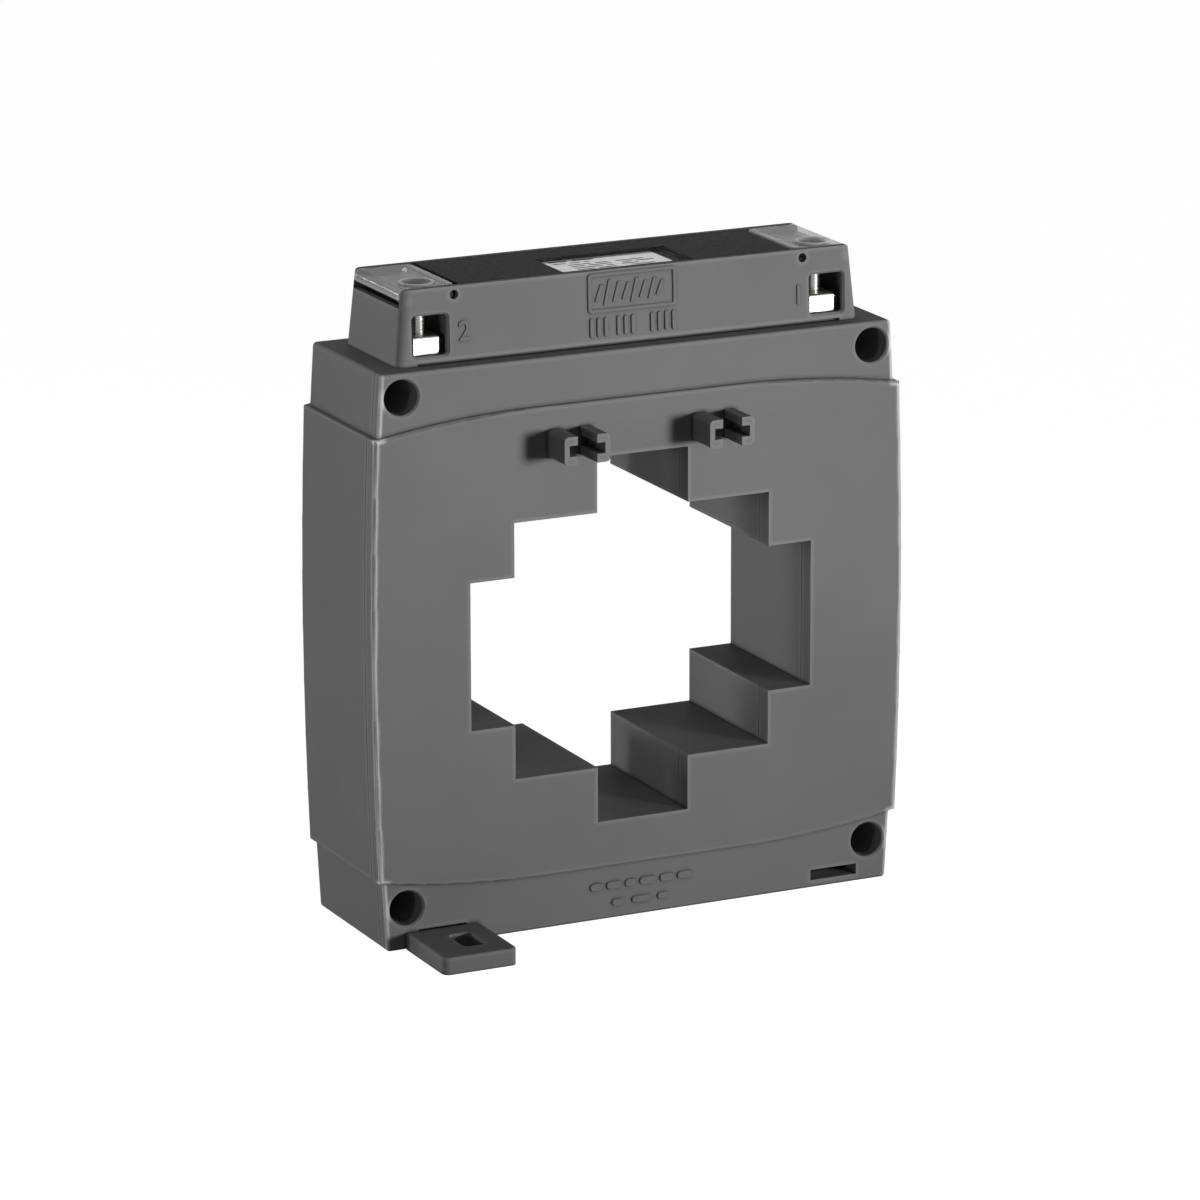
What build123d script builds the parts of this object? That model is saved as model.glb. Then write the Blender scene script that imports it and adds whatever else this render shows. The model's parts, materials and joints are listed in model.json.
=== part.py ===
from build123d import *
import math
import os

os.makedirs("parts", exist_ok=True)

# A moulded-case current transformer for flat busbars, in millimetres.
# X runs along its width, the front faces -Y, Z is up and the case stands on Z = 0.

# Stepped window for flat bars of three widths: width and height of each slot
window_slots = ((81.6, 32.7), (60.9, 56.8), (21.7, 81.4))
window_wall = 1.6

# Ring core round the window, with its insulating formers and secondary winding
core_build = 9.657
winding_gap = 0.5
winding_build = 1.3
winding_room = 3.65
winding_break = 14.0
former_wall = 0.9
former_gap = 0.1
former_split = 0.4

# Case: two corner blocks with a raised, slightly bulging band round the middle
side_room = 0.1
band_bulge = 1.0
band_proud = 1.05
band_half_depth = 19.1
block_half_depth = band_half_depth - band_proud
winding_half_depth = block_half_depth - winding_room
block_taper = 0.9
band_foot = 15.7
band_head = 13.8
band_arch = 3.4
band_flat_half = 25.0
edge_round = 0.6
corner_round = 0.9
wall = 1.9

# Seam between the front cover and the rear case, with a tongue inside it
cover_skirt = 4.2
seam_gap = 0.2
tongue_wall = 0.8
tongue_depth = 2.0
fit_gap = 0.1

# Corner wells for panel screws
well_radius = 3.9
well_inset = 7.6
well_drop = 5.3
well_rise = 9.2
well_floor = 4.0
well_wall = 1.2
well_rim = 0.4
panel_screw_radius = 2.15

# Slotted holder studs above the window
stud_x = 17.2
stud_drop = 18.5
stud_width = 10.7
stud_height = 6.2
stud_length = 8.5
stud_slot = 4.6
stud_cavity_width = 8.4
stud_cavity_height = 2.4
stud_round = 0.9

# Plug-in foot and its sockets in the bottom corners
socket_inset = 16.0
socket_width = 11.4
socket_height = 2.4
socket_floor = 1.7
socket_depth = 6.0
socket_wall = 0.9
foot_width = 17.2
foot_reach = 19.7
foot_thickness = 3.8
foot_round = 1.6
foot_slot_width = 5.2
foot_slot_length = 9.0
foot_slot_reach = 9.8
foot_slot_shift = 1.2
foot_slot_round = 1.2
foot_edge = 0.25
foot_tongue_height = 1.7
foot_rib_width = 1.2
foot_rib_height = 0.45
foot_rib_inset = 1.5
foot_gap = 0.15

# Terminal head on top of the case, with drafted walls
head_inset = 8.7
head_half_depth = 13.8
head_height = 16.4
head_side_draft = 1.6
head_face_draft = 0.7
head_wall = 1.4
head_round = 2.0
head_shoulder = 1.5
head_groove_height = 0.6
head_groove_depth = 1.0
pilaster_width = 4.6
rib_wall = 1.4
peg_x = 24.0
peg_radius = 1.8
peg_length = 1.6

# Terminal bays, their windows and the wire that each clamps
terminal_inset = 7.7
terminal_set = 7.2
entry_width = 8.1
entry_height = 8.8
entry_rise = 1.8
entry_round = 0.8
entry_bevel = 0.5
bay_half_width = 4.7
partition_wall = 1.2
partition_drop = 3.8
pedestal_back = 6.2

# Contact strip under each screw
strip_width = 5.9
strip_thickness = 1.0
strip_top = 5.7
strip_front = 4.8
strip_apron = 3.9
strip_tail = 2.6
strip_bend = 0.7
collar_radius = 3.0
collar_height = 1.6

# Clamp washer and terminal screw
thread_pitch = 0.7
clamp_turns = 4
clamp_travel = thread_pitch * clamp_turns
washer_side = 6.5
washer_thickness = 1.2
washer_wing = 1.2
washer_wing_wall = 0.7
washer_bend = 0.5
screw_radius = 1.95
screw_clearance = 0.08
screw_head_radius = 3.1
screw_head_height = 1.9
screw_slot_width = 0.9
screw_slot_depth = 1.1
screw_cross_span = 3.7
screw_head_round = 0.6
screw_point = 0.4
screw_tip_gap = 0.6

# Clear terminal covers, hinged at the outer ends of the head
cover_reach = 11.85
cover_thickness = 1.1
cover_side_gap = 0.15
cover_round = 0.5
cover_corner = 2.0
hinge_inset = 1.5
hinge_drop = 2.3
barrel_radius = 0.9
swing_gap = 0.25
pin_radius = 0.65
pin_length = 0.8
pin_clearance = 0.05
lug_width = 2.6
lug_height = 3.4
seal_hole_radius = 1.0
seal_hole_drop = 1.85
access_radius = 3.1
access_rim_wall = 0.8
access_rim_height = 0.3

# Nameplate between the covers, with a label under a clear window
plate_gap = 0.5
plate_thickness = 1.4
plate_ledge = 1.2
plate_ledge_width = 1.0
plate_edge = 0.2
label_length = 26.4
label_x = -0.8
label_front_margin = 1.4
label_back_margin = 8.9
label_thickness = 0.2
label_margin = 0.8
window_tail = 3.6
label_window_thickness = 0.5
ridge_inset = 0.9
ridge_pitch = 1.3
ridge_width = 0.5
ridge_length = 9.0
ridge_height = 0.25

# Insulated lead wires from the winding to the contact strips
lead_radius = 0.8
lead_start_x = 7.0
lead_y = 8.2
lead_rise = 3.4
lead_bend = 1.6
lead_gap = 0.3
lead_hole_gap = 0.5

# How far pieces that are fused bite into each other, and how far a cut runs past a face
bite = 0.5
past = 1.0

# The window and the ring round it set the case's height and width
window_reach = max(math.hypot(w / 2 + window_wall, h / 2 + window_wall) for w, h in window_slots)
insulation = winding_build + 2 * former_gap + former_wall
winding_inner = window_reach + winding_gap
core_inner = winding_inner + insulation
core_outer = core_inner + core_build
winding_outer = core_outer + insulation
case_height = 2 * (winding_outer + winding_gap + wall)
case_half_width = case_height / 2 + side_room
window_centre = case_height / 2
beyond = 2 * case_half_width

# Places on the case
plate_inner = -block_half_depth + wall
seam_y = -band_half_depth + cover_skirt
inner_back = block_half_depth - wall
well_x = case_half_width - well_inset
stud_z = case_height - stud_drop
socket_x = case_half_width - socket_inset

# Places on the head
head_half_width = case_half_width - head_inset
head_top = case_height + head_height
partition_top = head_top - partition_drop
terminal_x = head_half_width - terminal_inset
terminal_y = -head_half_depth + terminal_set
hinge_z = head_top - hinge_drop
hinge_x = head_half_width - head_side_draft * (hinge_z - case_height) / head_height - hinge_inset
cover_inner = hinge_x - cover_reach
seal_hole_x = cover_inner + lug_width / 2
plate_half_length = cover_inner - plate_gap
plate_half_depth = head_half_depth - head_face_draft - head_wall - cover_side_gap
label_depth = 2 * plate_half_depth - label_front_margin - label_back_margin
label_y = (label_front_margin - label_back_margin) / 2


def extrude_xz(outline, y_front, y_back):
    """Solid of an outline drawn in X and Z, between two depths."""
    return extrude(Plane.XZ.offset(-y_back) * outline, amount=y_back - y_front)


def box(x0, x1, y0, y1, z0, z1):
    """Box between two corners."""
    centre = ((x0 + x1) / 2, (y0 + y1) / 2, (z0 + z1) / 2)
    return Pos(*centre) * Box(x1 - x0, y1 - y0, z1 - z0)


def slab(y_front, y_back):
    """Everything between two depths, wider and taller than the part."""
    return box(-beyond, beyond, y_front, y_back, -beyond, beyond)


def rod_y(radius, x, z, y_front, y_back):
    """Cylinder along Y."""
    return extrude_xz(Pos(x, z) * Circle(radius), y_front, y_back)


def rod_z(radius, x, y, z_low, z_high):
    """Cylinder along Z."""
    return Pos(x, y, (z_low + z_high) / 2) * Cylinder(radius, z_high - z_low)


def mirrored(solid):
    """The same solid on the other side of the middle plane."""
    return mirror(solid, Plane.YZ)


def block_outline(inset=0.0):
    """Corner blocks: the case's full height, narrower towards both ends."""
    step = case_half_width - band_bulge - band_proud
    half_end = step - block_taper - inset
    half_mid = step - inset
    bottom = inset
    top = case_height - inset
    right = [(half_end, bottom), (half_mid, band_foot), (half_mid, case_height - band_head), (half_end, top)]
    left = [(-x, z) for x, z in reversed(right)]
    sketch = make_face(Polyline(right + left, close=True))
    ends = [v for v in sketch.vertices() if v.Y < bottom + 0.01 or v.Y > top - 0.01]
    return fillet(ends, corner_round)


def band_outline(inset=0.0):
    """Raised band: bulging sides, and flat top and bottom edges that arch down to the corners."""
    half = case_half_width - band_bulge - inset
    low = band_foot + inset
    high = case_height - band_head - inset
    with BuildLine() as line:
        Line((-band_flat_half, high + band_arch), (band_flat_half, high + band_arch))
        TangentArc((band_flat_half, high + band_arch), (half, high), tangent=(1, 0))
        ThreePointArc((half, high), (half + band_bulge, (low + high) / 2), (half, low))
        TangentArc((band_flat_half, low - band_arch), (half, low), tangent=(1, 0))
        Line((band_flat_half, low - band_arch), (-band_flat_half, low - band_arch))
        TangentArc((-band_flat_half, low - band_arch), (-half, low), tangent=(-1, 0))
        ThreePointArc((-half, low), (-half - band_bulge, (low + high) / 2), (-half, high))
        TangentArc((-band_flat_half, high + band_arch), (-half, high), tangent=(-1, 0))
    return make_face(line.edges())


def window_outline(grow=0.0):
    """Stepped window: three rectangles on one centre."""
    outline = None
    for width, height in window_slots:
        slot = Pos(0, window_centre) * Rectangle(width + 2 * grow, height + 2 * grow)
        outline = slot if outline is None else outline + slot
    return outline


def rounded_prism(outline, half_depth):
    """Prism of an outline with softened front and rear edges."""
    prism = extrude_xz(outline, -half_depth, half_depth)
    rims = prism.edges().group_by(Axis.Y)
    return fillet(rims[0] + rims[-1], edge_round)


def case_outer():
    """Whole outer form of the case, both halves together."""
    return rounded_prism(block_outline(), block_half_depth) + rounded_prism(band_outline(), band_half_depth)


def case_inner(inset, y_front, y_back):
    """Space inside the case walls between two depths."""
    return extrude_xz(block_outline(inset) + band_outline(inset), y_front, y_back)


def well_places():
    """Centres of the four corner wells in X and Z."""
    high = case_height - well_drop
    return [(-well_x, high), (well_x, high), (-well_x, well_rise), (well_x, well_rise)]


def well_mouth(x, z):
    """Countersunk rim of one corner well, in the face of the corner block."""
    rim = Plane(origin=(x, -block_half_depth, z), z_dir=(0, 1, 0)) * Circle(well_radius + well_rim)
    return extrude(rim, amount=well_rim, taper=45)


def socket_hood(side, y_mouth, y_end):
    """Roof, sides and end wall of one foot socket; the case floor closes it below."""
    x = side * socket_x
    half = socket_width / 2 + socket_wall
    top = socket_floor + socket_height + socket_wall
    y0, y1 = sorted((y_mouth, y_end))
    return box(x - half, x + half, y0, y1, wall + fit_gap, top)


def socket_slot(side, y_mouth, y_end):
    """Empty space of one foot socket."""
    x = side * socket_x
    half = socket_width / 2
    y0, y1 = sorted((y_mouth, y_end))
    return box(x - half, x + half, y0, y1, socket_floor, socket_floor + socket_height)


def make_front_cover(outer):
    """Front half of the case: face plate, skirt, tongue, wells, studs and foot sockets."""
    front = -band_half_depth - past
    cover = outer & slab(front, seam_y)
    cover -= case_inner(wall, plate_inner, seam_y + past)
    tongue_inset = wall - tongue_wall
    tongue = case_inner(tongue_inset + fit_gap, plate_inner - bite, seam_y + tongue_depth)
    tongue -= case_inner(wall, plate_inner - past, seam_y + tongue_depth + past)
    cover += tongue
    for x, z in well_places():
        sleeve = rod_y(well_radius + well_wall, x, z, plate_inner - bite, seam_y)
        cover += sleeve & case_inner(fit_gap, plate_inner - past, seam_y)
        cover -= rod_y(well_radius + well_wall + fit_gap, x, z, seam_y, seam_y + tongue_depth + past)
        cover -= rod_y(well_radius, x, z, front, seam_y + past)
        cover -= well_mouth(x, z)
    socket_end = -block_half_depth + socket_depth
    for side in (-1, 1):
        cover += socket_hood(side, plate_inner - bite, socket_end + socket_wall)
        cover -= socket_slot(side, front, socket_end)
    cover += extrude_xz(window_outline(window_wall), plate_inner - bite, seam_y)
    cover -= extrude_xz(window_outline(), front, seam_y + past)
    for side in (-1, 1):
        cover += stud_pair(side * stud_x)
    return cover


def stud_pair(x):
    """Two channel halves that face each other across a slot."""
    end = -band_half_depth - stud_length
    body = RectangleRounded(stud_width, stud_height, stud_round)
    body -= Rectangle(stud_slot, stud_height + past)
    body -= Rectangle(stud_cavity_width, stud_cavity_height)
    return extrude_xz(Pos(x, stud_z) * body, end, -band_half_depth + bite)


def make_rear_case(outer):
    """Rear half of the case: deep shell, window tube, pillars with wells, rear foot sockets."""
    back = band_half_depth + past
    front = seam_y + seam_gap
    whole = outer & slab(front, back)
    case = whole - case_inner(wall, front - past, inner_back)
    case -= case_inner(wall - tongue_wall, front - past, front + tongue_depth + fit_gap)
    for x, z in well_places():
        case += rod_y(well_radius + well_wall, x, z, front, inner_back + bite) & whole
        case -= rod_y(well_radius, x, z, front - past, block_half_depth - well_floor)
        case -= rod_y(panel_screw_radius, x, z, front, back)
    socket_end = -block_half_depth + socket_depth
    for side in (-1, 1):
        half = socket_width / 2 + socket_wall + fit_gap
        hood_top = socket_floor + socket_height + socket_wall + fit_gap
        x = side * socket_x
        hood_end = socket_end + socket_wall + fit_gap
        case -= box(x - half, x + half, front - past, hood_end, min(wall, socket_floor), hood_top)
        case += socket_hood(side, inner_back + bite, -socket_end - socket_wall)
        case -= socket_slot(side, -socket_end, back)
    case += extrude_xz(window_outline(window_wall), front, inner_back + bite)
    case -= extrude_xz(window_outline(), front - past, back)
    low = case_height - wall - past
    for side in (-1, 1):
        case -= rod_z(lead_radius + lead_hole_gap, side * lead_start_x, lead_y, low, case_height + past)
        case -= rod_z(peg_radius + fit_gap, side * peg_x, 0, low, case_height + past)
    return case


def ring_section(radius_in, radius_out, y_front, y_back):
    """Ring round the window's centre line, of rectangular section."""
    ring = Circle(radius_out) - Circle(radius_in)
    return extrude_xz(Pos(0, window_centre) * ring, y_front, y_back)


def make_winding():
    """Secondary winding: a hollow ring open at the top, where its two ends come out."""
    depth = winding_half_depth
    inner = winding_inner + winding_build
    outer = winding_outer - winding_build
    winding = ring_section(winding_inner, winding_outer, -depth, depth)
    winding -= ring_section(inner, outer, -depth + winding_build, depth - winding_build)
    half_gap = winding_outer * math.sin(math.radians(winding_break / 2))
    winding -= box(-half_gap, half_gap, -depth - past, depth + past, window_centre, case_height)
    return winding


def make_former(side):
    """One of two channel rings that insulate the core from the winding."""
    depth = winding_half_depth - winding_build - former_gap
    inner = core_inner - former_gap
    outer = core_outer + former_gap
    near = former_split / 2
    ring = ring_section(inner - former_wall, outer + former_wall, near, depth)
    ring -= ring_section(inner, outer, near - past, depth - former_wall)
    return ring if side > 0 else mirror(ring, Plane.XZ)


def make_core():
    """Strip-wound iron ring."""
    depth = winding_half_depth - insulation
    return ring_section(core_inner, core_outer, -depth, depth)


def head_front(inset, z_low, z_high):
    """Front outline of the head between two heights, narrower towards the top."""
    half = head_half_width - inset
    low = half - head_side_draft * (z_low - case_height) / head_height
    high = half - head_side_draft * (z_high - case_height) / head_height
    return make_face(Polyline((-low, z_low), (low, z_low), (high, z_high), (-high, z_high), close=True))


def head_side(inset, z_low, z_high):
    """Side outline of the head between two heights, narrower towards the top."""
    half = head_half_depth - inset
    low = half - head_face_draft * (z_low - case_height) / head_height
    high = half - head_face_draft * (z_high - case_height) / head_height
    return make_face(Polyline((-low, z_low), (low, z_low), (high, z_high), (-high, z_high), close=True))


def head_prism(front, side):
    """Solid that has one outline seen from the front and another seen from the side."""
    reach = head_half_width + head_half_depth
    return extrude_xz(front, -reach, reach) & extrude(Plane.YZ * side, amount=reach, both=True)


def head_frustum(inset, z_low, z_high):
    """Drafted body of the head between two heights."""
    return head_prism(head_front(inset, z_low, z_high), head_side(inset, z_low, z_high))


def head_shell():
    """Outer form of the head, with rounded upright corners and rounded shoulders at both ends."""
    body = head_frustum(0, case_height, head_top)
    uprights = [e for e in body.edges() if e.bounding_box().size.Z > head_height - past]
    body = fillet(uprights, head_round)
    front = head_front(0, case_height, head_top)
    shoulders = front.vertices().sort_by(Axis.Y)[-2:]
    return body & extrude_xz(fillet(shoulders, head_shoulder), -beyond, beyond)


def head_cavity():
    """Inside of the head, with both end walls lowered to seat the covers' hinge barrels."""
    low = case_height - past
    high = head_top + past
    seat = hinge_z - max(barrel_radius, hinge_inset) - swing_gap
    ends = Pos(0, (seat + high) / 2) * Rectangle(2 * head_half_width + past, high - seat)
    return head_prism(head_front(head_wall, low, high) + ends, head_side(head_wall, low, high))


def partition_x():
    """Middle of the wall between a terminal bay and the space under the nameplate."""
    return terminal_x - bay_half_width - partition_wall / 2


def make_head():
    """Terminal head: drafted shell with two bays, pedestals, ledges and locating pegs."""
    head = head_shell() - head_cavity()
    for face in (-1, 1):
        y0, y1 = sorted((face * (head_half_depth - head_groove_depth), face * (head_half_depth + past)))
        half = head_half_width - pilaster_width
        head -= box(-half, half, y0, y1, case_height - past, case_height + head_groove_height)
    right = make_bay()
    head += right
    head += mirrored(right)
    for cut in bay_cuts():
        head -= cut
        head -= mirrored(cut)
    head = chamfer(entry_rims(head), entry_bevel)
    plate_low = head_top - plate_thickness - fit_gap
    half = plate_half_length
    inside = head_frustum(head_wall - 2 * fit_gap, case_height, plate_low)
    rib_back = lead_y - 2 * lead_radius
    ledges = box(-half, half, -beyond, beyond, plate_low - plate_ledge, plate_low) & inside
    inner_half = plate_half_depth + cover_side_gap - plate_ledge_width
    ledges -= box(-half - past, half + past, -inner_half, inner_half, case_height, head_top)
    head += ledges
    for side in (-1, 1):
        x = side * peg_x
        rib = box(x - rib_wall / 2, x + rib_wall / 2, -beyond, rib_back, case_height, plate_low)
        head += rib & inside
        head += rod_z(peg_radius, x, 0, case_height - peg_length, case_height + peg_length)
    return head


def make_bay():
    """Right-hand bay: partition and the pedestal that carries the contact strip."""
    x_wall = partition_x()
    half = partition_wall / 2
    low = case_height
    seat = case_height + strip_top - strip_thickness
    space = head_frustum(head_wall - 2 * fit_gap, low, head_top)
    partition = box(x_wall - half, x_wall + half, -beyond, beyond, low, partition_top)
    pedestal = box(
        terminal_x - bay_half_width - half, terminal_x + bay_half_width,
        terminal_y - strip_front + strip_thickness + fit_gap, terminal_y + pedestal_back,
        low, seat,
    )
    bay = (partition & space) + pedestal
    collar_low = seat - collar_height - fit_gap
    bay -= rod_z(collar_radius + fit_gap, terminal_x, terminal_y, collar_low, seat + past)
    bay -= rod_z(screw_radius + 2 * fit_gap, terminal_x, terminal_y, low - past, seat)
    bay -= lead_hole()
    return bay


def lead_hole():
    """Hole in the partition for the lead wire, along X."""
    drill = Rot(0, 90, 0) * Cylinder(lead_radius + lead_hole_gap, 3 * partition_wall)
    return Pos(partition_x(), lead_y, case_height + lead_rise) * drill


def bay_cuts():
    """Right-hand wire entry, hinge sockets and seal-wire hole."""
    z_mid = case_height + entry_rise + entry_height / 2
    front = -head_half_depth - past
    inner_y = plate_half_depth + cover_side_gap
    entry = extrude_xz(
        Pos(terminal_x, z_mid) * RectangleRounded(entry_width, entry_height, entry_round),
        front, -inner_y + past,
    )
    pin_end = inner_y + pin_length + fit_gap
    pins = rod_y(pin_radius + pin_clearance, hinge_x, hinge_z, -pin_end, pin_end)
    seal = rod_y(seal_hole_radius, seal_hole_x, head_top - seal_hole_drop, front, -front)
    return [entry, pins, seal]


def entry_rims(head):
    """Outer edges of both wire entries, on the drafted front face."""
    rims = []
    for edge in head.edges():
        place = edge.center()
        face_y = -head_half_depth + head_face_draft * (place.Z - case_height) / head_height
        beside = abs(abs(place.X) - terminal_x) < entry_width / 2 + fit_gap
        above = place.Z > case_height + entry_rise - fit_gap
        below = place.Z < case_height + entry_rise + entry_height + fit_gap
        if abs(place.Y - face_y) < fit_gap / 5 and beside and above and below:
            rims.append(edge)
    return rims


def make_contact():
    """Right-hand contact strip: apron in front, threaded collar, tail for the lead wire."""
    top = case_height + strip_top
    low = top - strip_thickness
    half = strip_width / 2
    front = terminal_y - strip_front
    back = terminal_y + pedestal_back + fit_gap + strip_thickness
    strip = box(terminal_x - half, terminal_x + half, front, back, low, top)
    strip += box(terminal_x - half, terminal_x + half, front, front + strip_thickness, top - strip_apron, top)
    strip += box(terminal_x - half, terminal_x + half, back - strip_thickness, back, low - strip_tail, top)
    collar_low = low - collar_height
    strip += rod_z(collar_radius, terminal_x, terminal_y, collar_low, low)
    bends = strip.edges().filter_by(Axis.X).sort_by(Axis.Z)[-2:]
    strip = fillet(bends, strip_bend)
    strip -= rod_z(screw_radius + screw_clearance, terminal_x, terminal_y, collar_low - past, top + past)
    return strip


def washer_top():
    """Height of the screw's seat on the washer at rest, with the clamp open."""
    tip_rest = case_height + screw_tip_gap + clamp_travel
    head_low = head_top - cover_thickness - fit_gap * 3 - screw_head_height
    return tip_rest, head_low


def make_washer():
    """Right-hand clamp washer: a square plate with two wings bent down beside the strip."""
    top = washer_top()[1]
    half = washer_side / 2
    low = top - washer_thickness
    plate = box(terminal_x - half, terminal_x + half, terminal_y - half, terminal_y + half, low, top)
    for side in (-1, 1):
        edge = terminal_x + side * half
        x0, x1 = sorted((edge, edge - side * washer_wing_wall))
        plate += box(x0, x1, terminal_y - half, terminal_y + half, low - washer_wing, top)
    plate = fillet(plate.edges().filter_by(Axis.Y).sort_by(Axis.Z)[-2:], washer_bend)
    return plate - rod_z(screw_radius + screw_clearance, terminal_x, terminal_y, low - past, top + past)


def make_screw():
    """Right-hand terminal screw: pan head with a cross and a slot."""
    tip, seat = washer_top()
    head = rod_z(screw_head_radius, terminal_x, terminal_y, seat, seat + screw_head_height)
    head = fillet(head.edges().sort_by(Axis.Z)[-1], screw_head_round)
    shank = rod_z(screw_radius, terminal_x, terminal_y, tip, seat)
    shank = chamfer(shank.edges().sort_by(Axis.Z)[0], screw_point)
    top = seat + screw_head_height
    half = screw_slot_width / 2
    reach = screw_head_radius + past
    low = top - screw_slot_depth
    span = screw_cross_span / 2
    slot = box(terminal_x - reach, terminal_x + reach, terminal_y - half, terminal_y + half, low, top + past)
    cross = box(terminal_x - half, terminal_x + half, terminal_y - span, terminal_y + span, low, top + past)
    return head + shank - slot - cross


def make_terminal_cover():
    """Right-hand clear cover: plate, outer skirt with hinge barrel, inner lug with the seal hole."""
    half_y = plate_half_depth
    outer_x = head_half_width + past
    low = head_top - cover_thickness
    plate = box(cover_inner, outer_x, -half_y, half_y, low, head_top)
    plate += box(cover_inner, cover_inner + lug_width, -half_y, half_y, head_top - lug_height, low)
    inner_edges = plate.edges().filter_by(Axis.Z).group_by(Axis.X)[0]
    plate = fillet(inner_edges, cover_corner)
    rim = plate.faces().sort_by(Axis.Z)[-1].edges().filter_by(Axis.Y).sort_by(Axis.X)[0]
    plate = fillet(rim, cover_round)
    skirt = box(hinge_x - barrel_radius, outer_x, -half_y, half_y, hinge_z, head_top)
    skirt -= box(cover_inner, hinge_x, -half_y - past, half_y + past, hinge_z + barrel_radius, low)
    body = (plate + skirt) & head_shell()
    body += rod_y(barrel_radius, hinge_x, hinge_z, -half_y, half_y)
    body += rod_y(pin_radius, hinge_x, hinge_z, -half_y - pin_length, half_y + pin_length)
    body += rod_z(access_radius + access_rim_wall, terminal_x, terminal_y, low, head_top + access_rim_height)
    body -= rod_z(access_radius, terminal_x, terminal_y, low - past, head_top + past)
    body -= rod_y(seal_hole_radius, seal_hole_x, head_top - seal_hole_drop, -half_y - past, half_y + past)
    return body


def make_nameplate():
    """Dark plate that closes the head between the covers, with a pocket for the label."""
    half_x = plate_half_length
    half_y = plate_half_depth
    low = head_top - plate_thickness
    plate = box(-half_x, half_x, -half_y, half_y, low, head_top)
    plate = chamfer(plate.edges().group_by(Axis.Z)[-1], plate_edge)
    return plate - label_pocket(fit_gap, head_top + past)


def label_pocket(gap, z_high):
    """Space of the label and its window, with a margin round the label."""
    depth = label_thickness + label_window_thickness + fit_gap
    x0 = label_x - label_length / 2 - label_margin - gap
    x1 = label_x + label_length / 2 + window_tail + gap
    half = label_depth / 2 + label_margin + gap
    return box(x0, x1, label_y - half, label_y + half, head_top - depth, z_high)


def make_label_card():
    """Blank white card in the nameplate's pocket."""
    low = head_top - label_thickness - label_window_thickness - fit_gap
    card = Box(label_length, label_depth, label_thickness)
    return Pos(label_x, label_y, low + label_thickness / 2) * card


def make_label_window():
    """Clear window over the label, with a thumb ridge at its free end."""
    low = head_top - label_window_thickness
    body = label_pocket(0, head_top) & box(-beyond, beyond, -beyond, beyond, low, head_top)
    x_end = label_x + label_length / 2 + window_tail
    ridge = Box(ridge_width, ridge_length, ridge_height)
    for step in range(2):
        x = x_end - ridge_inset - ridge_pitch * step
        body += Pos(x, label_y, head_top + ridge_height / 2) * ridge
    return body


def make_foot():
    """Plug-in foot: slotted plate in front of the case, with a tongue in the socket."""
    x = -socket_x
    face = -block_half_depth - foot_gap
    end = face - foot_reach
    mid = (face + end) / 2
    plate = Pos(x, mid, foot_thickness / 2) * Box(foot_width, foot_reach, foot_thickness)
    corners = plate.edges().filter_by(Axis.Z).group_by(Axis.Y)[0]
    plate = fillet(corners, foot_round)
    plate = chamfer(plate.edges().group_by(Axis.Z)[-1], foot_edge)
    slot = RectangleRounded(foot_slot_width, foot_slot_length, foot_slot_round)
    slot = Pos(x + foot_slot_shift, face - foot_slot_reach, -past) * slot
    plate -= extrude(slot, amount=foot_thickness + 2 * past)
    tongue_half = socket_width / 2 - foot_gap
    tongue_end = -block_half_depth + socket_depth - foot_gap
    low = socket_floor + foot_gap
    high = low + foot_tongue_height
    foot = plate + box(x - tongue_half, x + tongue_half, face - bite, tongue_end, low, high)
    for side in (-1, 1):
        rib = x + side * tongue_half / 2
        half = foot_rib_width / 2
        rib_end = tongue_end - bite
        foot += box(rib - half, rib + half, face + foot_rib_inset, rib_end, high, high + foot_rib_height)
    return foot


def make_lead():
    """Right-hand lead wire from the winding's top to the tail of the contact strip."""
    z_start = window_centre + math.sqrt(winding_outer**2 - lead_start_x**2) + lead_gap
    z_run = case_height + lead_rise
    tail = terminal_y + pedestal_back + fit_gap + strip_thickness
    points = [
        (lead_start_x, lead_y, z_start),
        (lead_start_x, lead_y, z_run),
        (terminal_x, lead_y, z_run),
        (terminal_x, tail, z_run),
    ]
    path = FilletPolyline(*points, radius=lead_bend)
    start = Plane(origin=points[0], z_dir=(0, 0, 1))
    return sweep(start * Circle(lead_radius), path=path)


outer = case_outer()
nodes = {
    "front_cover": make_front_cover(outer),
    "rear_case": make_rear_case(outer),
    "secondary_winding": make_winding(),
    "core_former_front": make_former(-1),
    "core_former_rear": make_former(1),
    "wound_core": make_core(),
    "terminal_head": make_head(),
    "nameplate": make_nameplate(),
    "label_card": make_label_card(),
    "label_window": make_label_window(),
    "mounting_foot": make_foot(),
}
for name, maker in (
    ("contact_strip", make_contact),
    ("clamp_washer", make_washer),
    ("terminal_screw", make_screw),
    ("terminal_cover", make_terminal_cover),
    ("lead_wire", make_lead),
):
    piece = maker()
    nodes[name + "_right"] = piece
    nodes[name + "_left"] = mirrored(piece)

for name, shape in nodes.items():
    export_step(shape, f"parts/{name}.step")
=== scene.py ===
import json
import math

import bmesh
import bpy
from mathutils import Matrix, Vector


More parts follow.
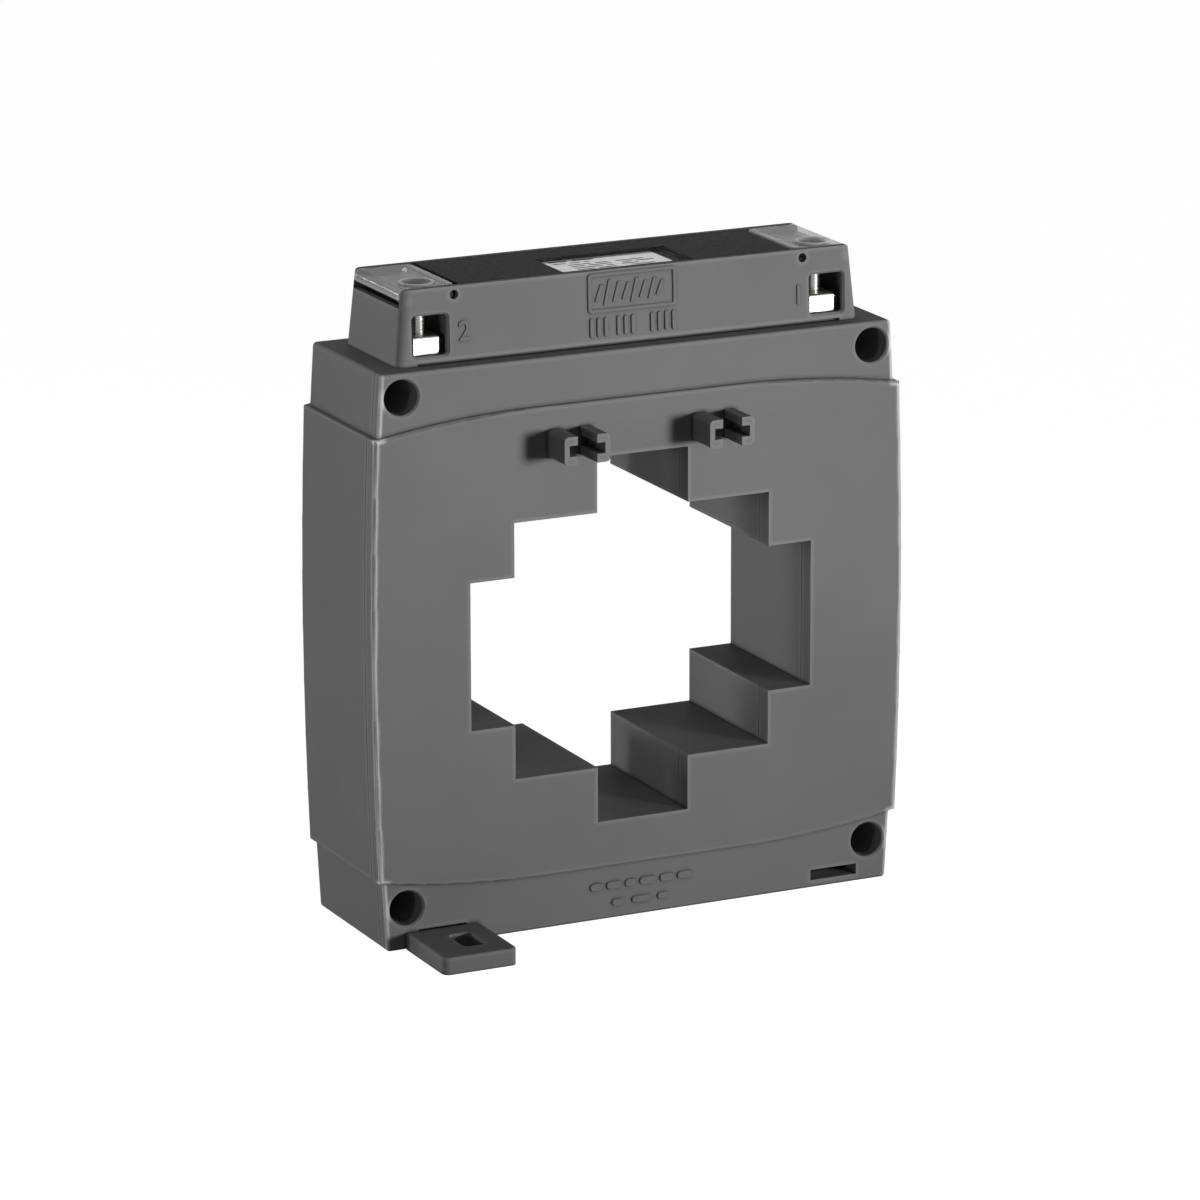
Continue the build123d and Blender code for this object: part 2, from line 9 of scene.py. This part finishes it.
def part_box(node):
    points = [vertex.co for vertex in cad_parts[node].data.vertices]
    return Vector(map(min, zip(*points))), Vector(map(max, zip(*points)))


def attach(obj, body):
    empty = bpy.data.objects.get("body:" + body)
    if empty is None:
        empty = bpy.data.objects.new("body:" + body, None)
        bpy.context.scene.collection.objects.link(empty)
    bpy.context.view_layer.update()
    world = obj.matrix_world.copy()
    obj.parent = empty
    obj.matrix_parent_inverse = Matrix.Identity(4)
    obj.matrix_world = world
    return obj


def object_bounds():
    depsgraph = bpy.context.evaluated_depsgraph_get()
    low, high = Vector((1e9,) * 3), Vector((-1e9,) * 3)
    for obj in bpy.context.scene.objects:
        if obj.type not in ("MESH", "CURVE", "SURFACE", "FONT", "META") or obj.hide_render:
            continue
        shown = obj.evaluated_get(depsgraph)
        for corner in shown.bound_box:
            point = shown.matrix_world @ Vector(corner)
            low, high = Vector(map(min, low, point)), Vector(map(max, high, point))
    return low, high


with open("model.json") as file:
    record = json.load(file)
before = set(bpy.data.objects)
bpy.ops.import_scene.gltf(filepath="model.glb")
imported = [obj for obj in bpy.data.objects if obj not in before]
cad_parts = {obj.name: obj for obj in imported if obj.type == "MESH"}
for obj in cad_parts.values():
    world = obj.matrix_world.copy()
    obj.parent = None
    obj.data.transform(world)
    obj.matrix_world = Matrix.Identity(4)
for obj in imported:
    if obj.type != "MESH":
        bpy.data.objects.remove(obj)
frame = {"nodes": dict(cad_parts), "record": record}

MM = 0.001
CAD_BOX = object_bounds()

# Faces of the case, the head and the label card, from the frame
COVER_LOW, COVER_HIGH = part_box("front_cover")
CASE_TOP = COVER_HIGH.z
CASE_MIDDLE = CASE_TOP / 2
CASE_HALF_WIDTH = COVER_HIGH.x
STUD_REACH = 8.5 * MM
BAND_PROUD = 1.05 * MM
BAND_FACE = COVER_LOW.y + STUD_REACH
BLOCK_FACE = BAND_FACE + BAND_PROUD
HEAD_LOW, HEAD_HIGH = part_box("terminal_head")
HEAD_FACE = HEAD_LOW.y
HEAD_TOP = HEAD_HIGH.z
HEAD_FACE_DRAFT = 0.7 * MM
CARD_LOW, CARD_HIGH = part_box("label_card")

# How wide the painted highlight on an edge and the painted shade in a joint are
EDGE_WIDTH = 1.0 * MM

# Relief: its bite into its face, how much of its rise is upright, and a frame's corner radii
RELIEF_BITE = 0.06 * MM
UPRIGHT_SHARE = 0.6
FRAME_ROUND = 0.9 * MM
LEAST_ROUND = 0.25 * MM

# Distance between two waves of a wave texture at scale 1, in metres
WAVE_PERIOD = math.tau / 20


# Node building blocks

class NodeTree:
    """Nodes of a material or of the world, with the building blocks that they share."""

    def __init__(self, owner):
        owner.use_nodes = True
        self.nodes = owner.node_tree.nodes
        self.links = owner.node_tree.links

    def feed(self, socket, value):
        """Links another node's output to a socket, or sets the socket to a plain value."""
        if isinstance(value, bpy.types.NodeSocket):
            self.links.new(value, socket)
        else:
            socket.default_value = value

    def add(self, kind, settings=None, **inputs):
        """New node with its settings, and its inputs by name."""
        node = self.nodes.new(kind)
        for key, value in (settings or {}).items():
            setattr(node, key, value)
        for key, value in inputs.items():
            self.feed(node.inputs[key.replace("_", " ")], value)
        return node

    def space(self, stretch=(1.0, 1.0, 1.0)):
        """Coordinates fixed to the part, in metres, stretched along some axes."""
        coords = self.add("ShaderNodeTexCoord").outputs["Object"]
        return self.add("ShaderNodeMapping", Vector=coords, Scale=stretch).outputs["Vector"]

    def noise(self, vector, scale, detail=2.0, roughness=0.5):
        """Noise texture, with its scale in waves per metre."""
        inputs = {"Vector": vector, "Scale": scale, "Detail": detail, "Roughness": roughness}
        return self.add("ShaderNodeTexNoise", **inputs).outputs["Fac"]

    def spread(self, value, low, high, start=0.3, end=0.7):
        """The value's range from start to end, mapped to low to high."""
        inputs = {"Value": value, "From Min": start, "From Max": end, "To Min": low, "To Max": high}
        return self.add("ShaderNodeMapRange", **inputs).outputs["Result"]

    def maths(self, operation, *values):
        """Result of an operation on other nodes' outputs and plain numbers."""
        node = self.add("ShaderNodeMath", {"operation": operation})
        for socket, value in zip(node.inputs, values):
            self.feed(socket, value)
        return node.outputs["Value"]

    def mix(self, factor, first, second):
        """Colour between two others, each of them a tone or another node's output."""
        first, second = [(*c, 1.0) if isinstance(c, tuple) else c for c in (first, second)]
        node = self.add("ShaderNodeMix", {"data_type": "RGBA"}, Factor=factor, A=first, B=second)
        return node.outputs["Result"]

    def bump(self, *heights):
        """Normal from several heights, each with its depth in metres, one after another."""
        normal = None
        for value, depth in heights:
            node = self.add("ShaderNodeBump", Strength=1.0, Distance=depth, Height=value)
            if normal is not None:
                self.feed(node.inputs["Normal"], normal)
            normal = node.outputs["Normal"]
        return normal

    def background_rays(self):
        """1 for rays that should see the white background."""
        path = self.add("ShaderNodeLightPath").outputs
        seen = self.maths("MAXIMUM", path["Is Camera Ray"], path["Is Glossy Ray"])
        return self.maths("MAXIMUM", seen, path["Is Transmission Ray"])


class Finish(NodeTree):
    """Material with a Principled shader."""

    def __init__(self, name):
        self.material = bpy.data.materials.new(name)
        super().__init__(self.material)
        self.shader = self.nodes["Principled BSDF"]

    def set(self, **inputs):
        """Sets or links the shader's inputs by name."""
        for key, value in inputs.items():
            self.feed(self.shader.inputs[key.replace("_", " ")], value)

    def outer_edges(self):
        """1 along the solid's outer edges, fading to 0 within about an edge's width of them."""
        settings = {"inside": True, "only_local": True, "samples": 6}
        inward = self.add("ShaderNodeAmbientOcclusion", settings, Distance=EDGE_WIDTH)
        return self.spread(inward.outputs["AO"], 1, 0, 0.86, 0.98)

    def crevices(self):
        """1 in corners and joints, fading to 0 within about an edge's width of them."""
        outward = self.add("ShaderNodeAmbientOcclusion", {"samples": 6}, Distance=EDGE_WIDTH)
        return self.spread(outward.outputs["AO"], 1, 0, 0.5, 0.96)

    def highlight_share(self, space):
        """How strongly an edge gets the painted highlight: fully at the band's front corners, lightly
        elsewhere, in patches.
        """
        parts = self.add("ShaderNodeSeparateXYZ", Vector=space).outputs
        off_middle = self.maths("ABSOLUTE", parts["X"])
        beside = self.spread(off_middle, 0, 1, CASE_HALF_WIDTH - 4 * MM, CASE_HALF_WIDTH - 3 * MM)
        in_front = self.spread(parts["Y"], 1, 0, BAND_FACE + 1.4 * MM, BAND_FACE + 2 * MM)
        corner = self.maths("MULTIPLY", beside, in_front)
        patchy = self.spread(self.noise(space, scale=120, detail=3), 0.8, 1)
        return self.maths("MULTIPLY", self.spread(corner, 0.08, 1, 0, 1), patchy)


def scaled(tone, factor):
    """Tone made darker or lighter."""
    return tuple(factor * c for c in tone)


# Materials

def moulded_plastic(name, tone, variation, roughness, specular, grain=0.02 * MM, highlight_tone=None):
    """Moulded plastic with fine eroded grain and slow clouding; given a highlight tone, its edges get a
    painted highlight and its corners and joints painted shade.
    """
    finish = Finish(name)
    space = finish.space()
    cloud = finish.noise(space, scale=28, detail=3)
    speck = finish.noise(space, scale=2600, detail=2, roughness=0.6)
    fine = finish.noise(space, scale=900, detail=4, roughness=0.65)
    mottle = finish.spread(finish.maths("MULTIPLY_ADD", speck, 0.35, cloud), 0, 1, 0.45, 0.9)
    surface = finish.mix(mottle, scaled(tone, 1 - variation), scaled(tone, 1 + variation))
    if highlight_tone is not None:
        # Painted highlight along the outer edges, fully at the band's front corners, lightly and in patches
        # elsewhere
        highlight = finish.maths("MULTIPLY", finish.outer_edges(), finish.highlight_share(space))
        # Painted shade in corners, in joints and between parts
        crevice_shade = finish.spread(finish.crevices(), 0, 0.75, 0, 1)
        surface = finish.mix(crevice_shade, finish.mix(highlight, surface, highlight_tone), CREVICE_SHADE)
    finish.set(
        Base_Color=surface,
        Roughness=finish.spread(fine, roughness - 0.05, roughness + 0.07),
        Specular_IOR_Level=specular,
        Normal=finish.bump((fine, grain), (cloud, 0.15 * MM)),
    )
    return finish.material


def plated_metal(name, dull, bright):
    """Plated metal between two tones, with faint drawn lines and blurred smudges."""
    finish = Finish(name)
    drawn = finish.noise(finish.space((0.1, 1.0, 1.0)), scale=2500)
    smudge = finish.noise(finish.space(), scale=300, detail=3)
    finish.set(
        Base_Color=finish.mix(finish.spread(smudge, 0, 1), dull, bright),
        Roughness=finish.spread(drawn, 0.22, 0.38),
        Metallic=1.0,
        Normal=finish.bump((drawn, 0.01 * MM)),
    )
    return finish.material


def clear_plastic(name, tone, cover, roughness, specular):
    """Thin clear plastic that covers part of what is behind it, with flow marks and a painted highlight
    along its edges, where it is also less clear.
    """
    finish = Finish(name)
    flow = finish.noise(finish.space((1.0, 0.3, 1.0)), scale=190, detail=4, roughness=0.6)
    haze = finish.noise(finish.space(), scale=1500)
    edge = finish.outer_edges()
    clouded = finish.mix(finish.spread(flow, 0, 1, 0.38, 0.62), scaled(tone, 0.5), scaled(tone, 1.35))
    finish.set(
        # Painted highlight along the edges
        Base_Color=finish.mix(edge, clouded, CLEAR_EDGE_HIGHLIGHT),
        Alpha=finish.spread(edge, cover, 1.5 * cover, 0, 1),
        Roughness=finish.spread(haze, roughness - 0.03, roughness + 0.05),
        Specular_IOR_Level=specular,
        Normal=finish.bump((flow, 0.15 * MM)),
    )
    return finish.material


def laminated_paper(name, dull, bright):
    """Label stock under a glossy laminate, with a faint fibre."""
    finish = Finish(name)
    fibre = finish.noise(finish.space(), scale=1800, detail=4, roughness=0.7)
    finish.set(
        Base_Color=finish.mix(finish.spread(fibre, 0, 1), dull, bright),
        Roughness=finish.spread(fibre, 0.25, 0.4),
        Specular_IOR_Level=1.0,
        Coat_Weight=1.0,
        Coat_Roughness=0.05,
        Coat_IOR=2.2,
        Normal=finish.bump((fibre, 0.003 * MM)),
    )
    return finish.material


def wound_metal(name, dark, light, pitch, in_rings):
    """Wound strip or wire: lines a pitch apart, in rings round the window or straight across."""
    finish = Finish(name)
    space = finish.space()
    settings = {"wave_type": "BANDS"}
    if in_rings:
        from_middle = finish.add("ShaderNodeVectorMath", {"operation": "SUBTRACT"})
        finish.feed(from_middle.inputs[0], space)
        finish.feed(from_middle.inputs[1], (0, 0, CASE_MIDDLE))
        space = from_middle.outputs["Vector"]
        settings = {"wave_type": "RINGS", "rings_direction": "Y"}
    scale = WAVE_PERIOD / pitch
    wave = finish.add("ShaderNodeTexWave", settings, Vector=space, Scale=scale, Distortion=0.4)
    turns = wave.outputs["Fac"]
    finish.set(
        Base_Color=finish.mix(turns, dark, light),
        Roughness=finish.spread(turns, 0.3, 0.5, 0, 1),
        Metallic=1.0,
        Normal=finish.bump((turns, 0.05 * MM)),
    )
    return finish.material


CASE_GREY = (0.165, 0.165, 0.167)
# Light tone of the painted highlight along the case's edges
CASE_EDGE_HIGHLIGHT = (0.7, 0.7, 0.7)
# Dark tone of the painted shade in corners and joints
CREVICE_SHADE = (0.03, 0.03, 0.03)
PLATE_BLACK = (0.012, 0.012, 0.0125)
CLEAR_GREY = (0.2, 0.2, 0.205)
# Light tone of the painted highlight along clear plastic's edges
CLEAR_EDGE_HIGHLIGHT = (0.4, 0.4, 0.41)
FILM_GREY = (0.3, 0.3, 0.31)
PAPER_DULL = (0.84, 0.84, 0.83)
PAPER_WHITE = (0.92, 0.92, 0.91)
NICKEL_DULL = (0.42, 0.41, 0.39)
NICKEL_BRIGHT = (0.62, 0.62, 0.6)
ZINC_DULL = (0.16, 0.16, 0.15)
ZINC_BRIGHT = (0.32, 0.32, 0.31)
STEEL_DARK = (0.2, 0.2, 0.21)
STEEL_LIGHT = (0.5, 0.5, 0.52)
COPPER_DARK = (0.35, 0.12, 0.06)
COPPER_LIGHT = (0.75, 0.36, 0.2)
FORMER_CREAM = (0.62, 0.6, 0.54)
SLEEVE_BLACK = (0.03, 0.03, 0.03)

MATERIALS = {
    "case_plastic": moulded_plastic(
        "case_plastic", CASE_GREY, variation=0.06, roughness=0.55, specular=0.02, highlight_tone=CASE_EDGE_HIGHLIGHT
    ),
    "plate_plastic": moulded_plastic(
        "plate_plastic", PLATE_BLACK, variation=0.15, roughness=0.4, specular=0.008, grain=0.008 * MM
    ),
    "clear_plastic": clear_plastic("clear_plastic", CLEAR_GREY, cover=0.45, roughness=0.1, specular=0.65),
    "label_stock": laminated_paper("label_stock", PAPER_DULL, PAPER_WHITE),
    "plated_metal": plated_metal("plated_metal", NICKEL_DULL, NICKEL_BRIGHT),
    "core_steel": wound_metal("core_steel", STEEL_DARK, STEEL_LIGHT, pitch=0.9865 * MM, in_rings=True),
    "copper_wire": wound_metal("copper_wire", COPPER_DARK, COPPER_LIGHT, pitch=1.5784 * MM, in_rings=False),
    "former_plastic": moulded_plastic(
        "former_plastic", FORMER_CREAM, variation=0.05, roughness=0.5, specular=0.3
    ),
    "lead_sleeve": moulded_plastic(
        "lead_sleeve", SLEEVE_BLACK, variation=0.2, roughness=0.45, specular=0.3
    ),
}
RELIEF_PLASTIC = moulded_plastic(
    "relief_plastic", CASE_GREY, variation=0.06, roughness=0.55, specular=0.02
)
LABEL_FILM = clear_plastic("label_film", FILM_GREY, cover=0.03, roughness=0.15, specular=0.1)
SCREW_METAL = plated_metal("screw_metal", ZINC_DULL, ZINC_BRIGHT)
OWN_MATERIALS = {
    "label_window": LABEL_FILM,
    "terminal_screw_left": SCREW_METAL,
    "terminal_screw_right": SCREW_METAL,
    "clamp_washer_left": SCREW_METAL,
    "clamp_washer_right": SCREW_METAL,
}


def dress_nodes():
    """Gives each CAD node its own material, or that of its slot."""
    slots = {row["node"]: row["material_slot"] for row in frame["record"]["subparts"]}
    for name, node in frame["nodes"].items():
        node.data.materials.clear()
        node.data.materials.append(OWN_MATERIALS.get(name, MATERIALS[slots[name]]))


# Small moulded and printed details

def add_object(name, data):
    """New object in the scene."""
    thing = bpy.data.objects.new(name, data)
    bpy.context.scene.collection.objects.link(thing)
    return thing


def head_point(x, z, out):
    """Point on the head's drafted front face, out from it."""
    y = HEAD_FACE + HEAD_FACE_DRAFT * (z - CASE_TOP) / (HEAD_TOP - CASE_TOP)
    return Vector((x, y - out, z))


def block_point(x, z, out):
    """Point on the front of the case's lower block."""
    return Vector((x, BLOCK_FACE - out, z))


def card_point(x, y, out):
    """Point on the label card's top."""
    return Vector((x, y, CARD_HIGH.z + out))


def rounded_loop(x, z, width, height, radius, steps=4):
    """Corners of a rounded rectangle round a centre."""
    loop = []
    for quarter in range(4):
        turn = quarter * math.pi / 2
        cx = x + (width / 2 - radius) * (1 if quarter in (0, 3) else -1)
        cz = z + (height / 2 - radius) * (1 if quarter in (0, 1) else -1)
        for step in range(steps + 1):
            angle = turn + step * math.pi / 2 / steps
            loop.append((cx + radius * math.cos(angle), cz + radius * math.sin(angle)))
    return loop


def slanted_loop(x, z, width, height, lean):
    """Corners of an upright stroke that leans to the right."""
    high, low = z + height / 2, z - height / 2
    right, left = (lean + width) / 2, (lean - width) / 2
    return [(x + right, high), (x + left, high), (x - right, low), (x - left, low)]


class Relief:
    """Raised shapes on one face of the part, gathered into one mesh piece."""

    def __init__(self, place):
        self.place = place
        self.points = []
        self.faces = []

    def loop(self, outline, out):
        """Adds the points of an outline at a height above the face, and returns their numbers."""
        start = len(self.points)
        self.points += [self.place(x, z, out) for x, z in outline]
        return range(start, len(self.points))

    def wall(self, low, high):
        """Faces between two loops."""
        for i in range(len(low)):
            j = (i + 1) % len(low)
            self.faces.append((low[i], low[j], high[j], high[i]))

    def pad(self, outline, inner, rise):
        """Pad of an outline, with its top drawn in to the inner outline."""
        foot = self.loop(outline, -RELIEF_BITE)
        shoulder = self.loop(outline, UPRIGHT_SHARE * rise)
        top = self.loop(inner, rise)
        self.wall(foot, shoulder)
        self.wall(shoulder, top)
        self.faces.append(tuple(top))
        self.faces.append(tuple(reversed(foot)))

    def bar(self, x, z, width, height, rise):
        """Bar with rounded ends and a drawn-in top."""
        radius = 0.45 * min(width, height)
        inset = min(0.12 * MM, 0.2 * min(width, height))
        outline = rounded_loop(x, z, width, height, radius, steps=3)
        top_radius = max(radius - inset, 0.02 * MM)
        inner = rounded_loop(x, z, width - 2 * inset, height - 2 * inset, top_radius, steps=3)
        self.pad(outline, inner, rise)

    def stroke(self, x, z, width, height, lean, rise):
        """Upright stroke that leans to the right, with a narrower top."""
        outline = slanted_loop(x, z, width, height, lean)
        self.pad(outline, slanted_loop(x, z, 0.7 * width, 0.95 * height, lean), rise)

    def frame(self, x, z, width, height, line, rise):
        """Rounded frame of one line, with softened edges."""
        edge = 0.2 * line
        side = UPRIGHT_SHARE * rise
        profile = (
            (0, -RELIEF_BITE), (0, side), (edge, rise),
            (line - edge, rise), (line, side), (line, -RELIEF_BITE),
        )
        loops = []
        for inset, out in profile:
            radius = max(FRAME_ROUND - inset, LEAST_ROUND)
            outline = rounded_loop(x, z, width - 2 * inset, height - 2 * inset, radius)
            loops.append(self.loop(outline, out))
        for low, high in zip(loops, loops[1:] + loops[:1]):
            self.wall(low, high)

    def make_piece(self, name, material):
        """Mesh piece of all the shapes, which rides on the housing."""
        mesh = bpy.data.meshes.new(name)
        mesh.from_pydata([tuple(point) for point in self.points], [], self.faces)
        work = bmesh.new()
        work.from_mesh(mesh)
        bmesh.ops.remove_doubles(work, verts=work.verts, dist=1e-7)
        bmesh.ops.recalc_face_normals(work, faces=work.faces)
        work.to_mesh(mesh)
        work.free()
        mesh.materials.append(material)
        piece = add_object(name, mesh)
        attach(piece, "housing")


def head_relief():
    """Framed field of slanted strokes on the head's front, and three groups of uprights under it."""
    field_z = CASE_TOP + 11.6 * MM
    field = Relief(head_point)
    field.frame(0.2 * MM, field_z, width=21.0 * MM, height=8.6 * MM, line=0.8 * MM, rise=0.34 * MM)
    field.make_piece("head_field", RELIEF_PLASTIC)
    strokes = Relief(head_point)
    heights = {-7.6: 3.6, -5.6: 5.4, -3.4: 4.4, -1.2: 3.6, 0.8: 5.0, 2.9: 3.6, 5.0: 4.4, 6.9: 3.2}
    for x, height in heights.items():
        strokes.stroke(x * MM, field_z, width=0.8 * MM, height=height * MM, lean=1.3 * MM, rise=0.28 * MM)
    strokes.make_piece("head_strokes", RELIEF_PLASTIC)
    uprights = Relief(head_point)
    uprights_z = CASE_TOP + 4.2 * MM
    pitch = 1.7
    for second_x, count in ((-7.8, 3), (-1.4, 3), (6.6, 4)):
        for index in range(count):
            x = (second_x + (index - 1) * pitch) * MM
            uprights.bar(x, uprights_z, width=0.9 * MM, height=4.2 * MM, rise=0.34 * MM)
    uprights.make_piece("head_bars", RELIEF_PLASTIC)


def block_relief():
    """Two rows of plain bars, low on the front."""
    rows = (
        (7.6, 1.7, ((-10.8, 3.2), (-6.6, 3.6), (-2.6, 2.6), (1.6, 4.0), (6.2, 3.4), (10.6, 3.6))),
        (3.6, 1.5, ((-5.6, 3.0), (0.0, 4.6), (5.2, 2.6))),
    )
    bars = Relief(block_point)
    for z, height, places in rows:
        for x, width in places:
            bars.bar(x * MM, z * MM, width * MM, height * MM, rise=0.4 * MM)
    bars.make_piece("block_bars", RELIEF_PLASTIC)


def numeral(name, text, x):
    """Raised numeral of a terminal, on the head's front beside the wire entry."""
    curve = bpy.data.curves.new(name, "FONT")
    curve.body = text
    curve.align_x = "CENTER"
    curve.align_y = "CENTER"
    curve.size = 6.0 * MM
    curve.extrude = 0.2 * MM
    curve.bevel_depth = 0.06 * MM
    curve.materials.append(RELIEF_PLASTIC)
    piece = add_object(name, curve)
    tilt = math.atan(HEAD_FACE_DRAFT / (HEAD_TOP - CASE_TOP))
    piece.location = head_point(x, CASE_TOP + 6.4 * MM, 0)
    piece.rotation_euler = (math.pi / 2 - tilt, 0, 0)
    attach(piece, "housing")


def label_print():
    """Plain printed bars on the label card: rows of starts and widths, each row a drop from the first."""
    rows = (
        (0.0, 1.0, ((0.0, 4.6), (5.6, 5.2))),
        (2.0, 0.6, ((0.0, 3.4), (4.2, 2.6), (7.6, 1.4))),
        (4.0, 0.6, ((3.0, 5.4), (9.4, 3.0), (14.2, 6.8))),
        (5.6, 0.6, ((3.0, 3.2), (7.0, 5.6), (15.0, 2.4), (18.2, 4.4))),
        (7.2, 0.6, ((3.0, 6.6), (10.6, 1.8), (14.2, 4.0))),
        (8.8, 0.6, ((3.0, 4.2), (8.0, 4.4), (15.8, 5.6))),
        (10.6, 1.0, ((3.0, 7.6), (12.0, 9.4))),
    )
    left = CARD_LOW.x + 1.2 * MM
    first = CARD_HIGH.y - 1.6 * MM
    ink = Relief(card_point)
    for drop, height, bars in rows:
        for start, width in bars:
            x = left + (start + width / 2) * MM
            ink.bar(x, first - drop * MM, width * MM, height * MM, rise=0.015 * MM)
    ink.make_piece("label_print", MATERIALS["plate_plastic"])


# Camera, lights and floor

CAMERA_AZIMUTH = math.radians(-25.891)
CAMERA_ELEVATION = math.radians(15.19)
CAMERA_ROLL = math.radians(-0.116)
CAMERA_DISTANCE = 1371.4 * MM
CAMERA_TARGET = Vector((-0.981, 0, 66.699)) * MM
CAMERA_LENS = 188.75
CAMERA_SENSOR = 36

LAMP_TARGET = Vector((0, 0, 120)) * MM
LAMP_DISTANCE = 1200 * MM
AMBIENT = 0.035

FLOOR_HALF = 3000 * MM
FLOOR_GAP = 0.05 * MM
FLOOR_GREY = (0.4, 0.4, 0.4, 1)
WHITE = (1, 1, 1, 1)


def direction(azimuth, elevation):
    """Unit vector from the part towards a place round it; azimuth 0 is the front."""
    level = math.cos(elevation)
    return Vector((math.sin(azimuth) * level, -math.cos(azimuth) * level, math.sin(elevation)))


def add_camera():
    """Camera at the photograph's place and angle."""
    data = bpy.data.cameras.new("camera")
    data.lens = CAMERA_LENS
    data.sensor_width = CAMERA_SENSOR
    data.clip_start = 10 * MM
    camera = add_object("camera", data)
    back = direction(CAMERA_AZIMUTH, CAMERA_ELEVATION)
    level_right = Vector((math.cos(CAMERA_AZIMUTH), math.sin(CAMERA_AZIMUTH), 0))
    level_up = back.cross(level_right)
    right = math.cos(CAMERA_ROLL) * level_right + math.sin(CAMERA_ROLL) * level_up
    up = math.cos(CAMERA_ROLL) * level_up - math.sin(CAMERA_ROLL) * level_right
    turn = Matrix((right, up, back)).transposed().to_4x4()
    camera.matrix_world = Matrix.Translation(CAMERA_TARGET + CAMERA_DISTANCE * back) @ turn
    bpy.context.scene.camera = camera


def add_lamp(name, azimuth, elevation, radius, reach, power):
    """Soft lamp aimed at the upper case, fading out to nothing at its reach from there."""
    data = bpy.data.lights.new(name, "SPOT")
    data.shadow_soft_size = radius
    data.spot_size = 2 * math.atan(reach / LAMP_DISTANCE)
    data.spot_blend = 1.0
    data.energy = power
    lamp = add_object(name, data)
    away = direction(math.radians(azimuth), math.radians(elevation))
    lamp.location = LAMP_TARGET + LAMP_DISTANCE * away
    lamp.rotation_euler = away.to_track_quat("Z", "Y").to_euler()


def add_world():
    """White behind the part, and weak even light on it."""
    world = bpy.data.worlds.new("studio")
    bpy.context.scene.world = world
    tree = NodeTree(world)
    background = tree.nodes["Background"].inputs
    tree.feed(background["Color"], WHITE)
    tree.feed(background["Strength"], tree.spread(tree.background_rays(), AMBIENT, 1, 0, 1))


def add_floor():
    """Pale floor that keeps the part's shadow and runs out into the white background."""
    corners = [(x * FLOOR_HALF, y * FLOOR_HALF, 0) for x, y in ((-1, -1), (1, -1), (1, 1), (-1, 1))]
    mesh = bpy.data.meshes.new("floor")
    mesh.from_pydata(corners, [], [(0, 1, 2, 3)])
    floor = add_object("floor", mesh)
    floor.location.z = CAD_BOX[0].z - FLOOR_GAP
    finish = Finish("floor")
    finish.set(
        Base_Color=FLOOR_GREY,
        Roughness=0.9,
        Specular_IOR_Level=0.0,
        Emission_Color=WHITE,
        Emission_Strength=finish.spread(finish.background_rays(), 0, 0.98, 0, 1),
    )
    mesh.materials.append(finish.material)


dress_nodes()
head_relief()
block_relief()
numeral("numeral_left", "2", -39.2 * MM)
numeral("numeral_right", "1", 40.2 * MM)
label_print()
add_camera()
add_lamp("key", azimuth=33, elevation=2, radius=0.15, reach=0.25, power=74)
add_lamp("edge", azimuth=-62, elevation=3, radius=0.1, reach=0.25, power=5)
add_lamp("side", azimuth=-112, elevation=4, radius=0.2, reach=0.16, power=58)
add_lamp("back", azimuth=-147, elevation=3, radius=0.2, reach=0.16, power=54)
add_lamp("top", azimuth=-15, elevation=72, radius=0.25, reach=0.25, power=8)
add_world()
add_floor()
bpy.context.scene.view_settings.view_transform = "Standard"
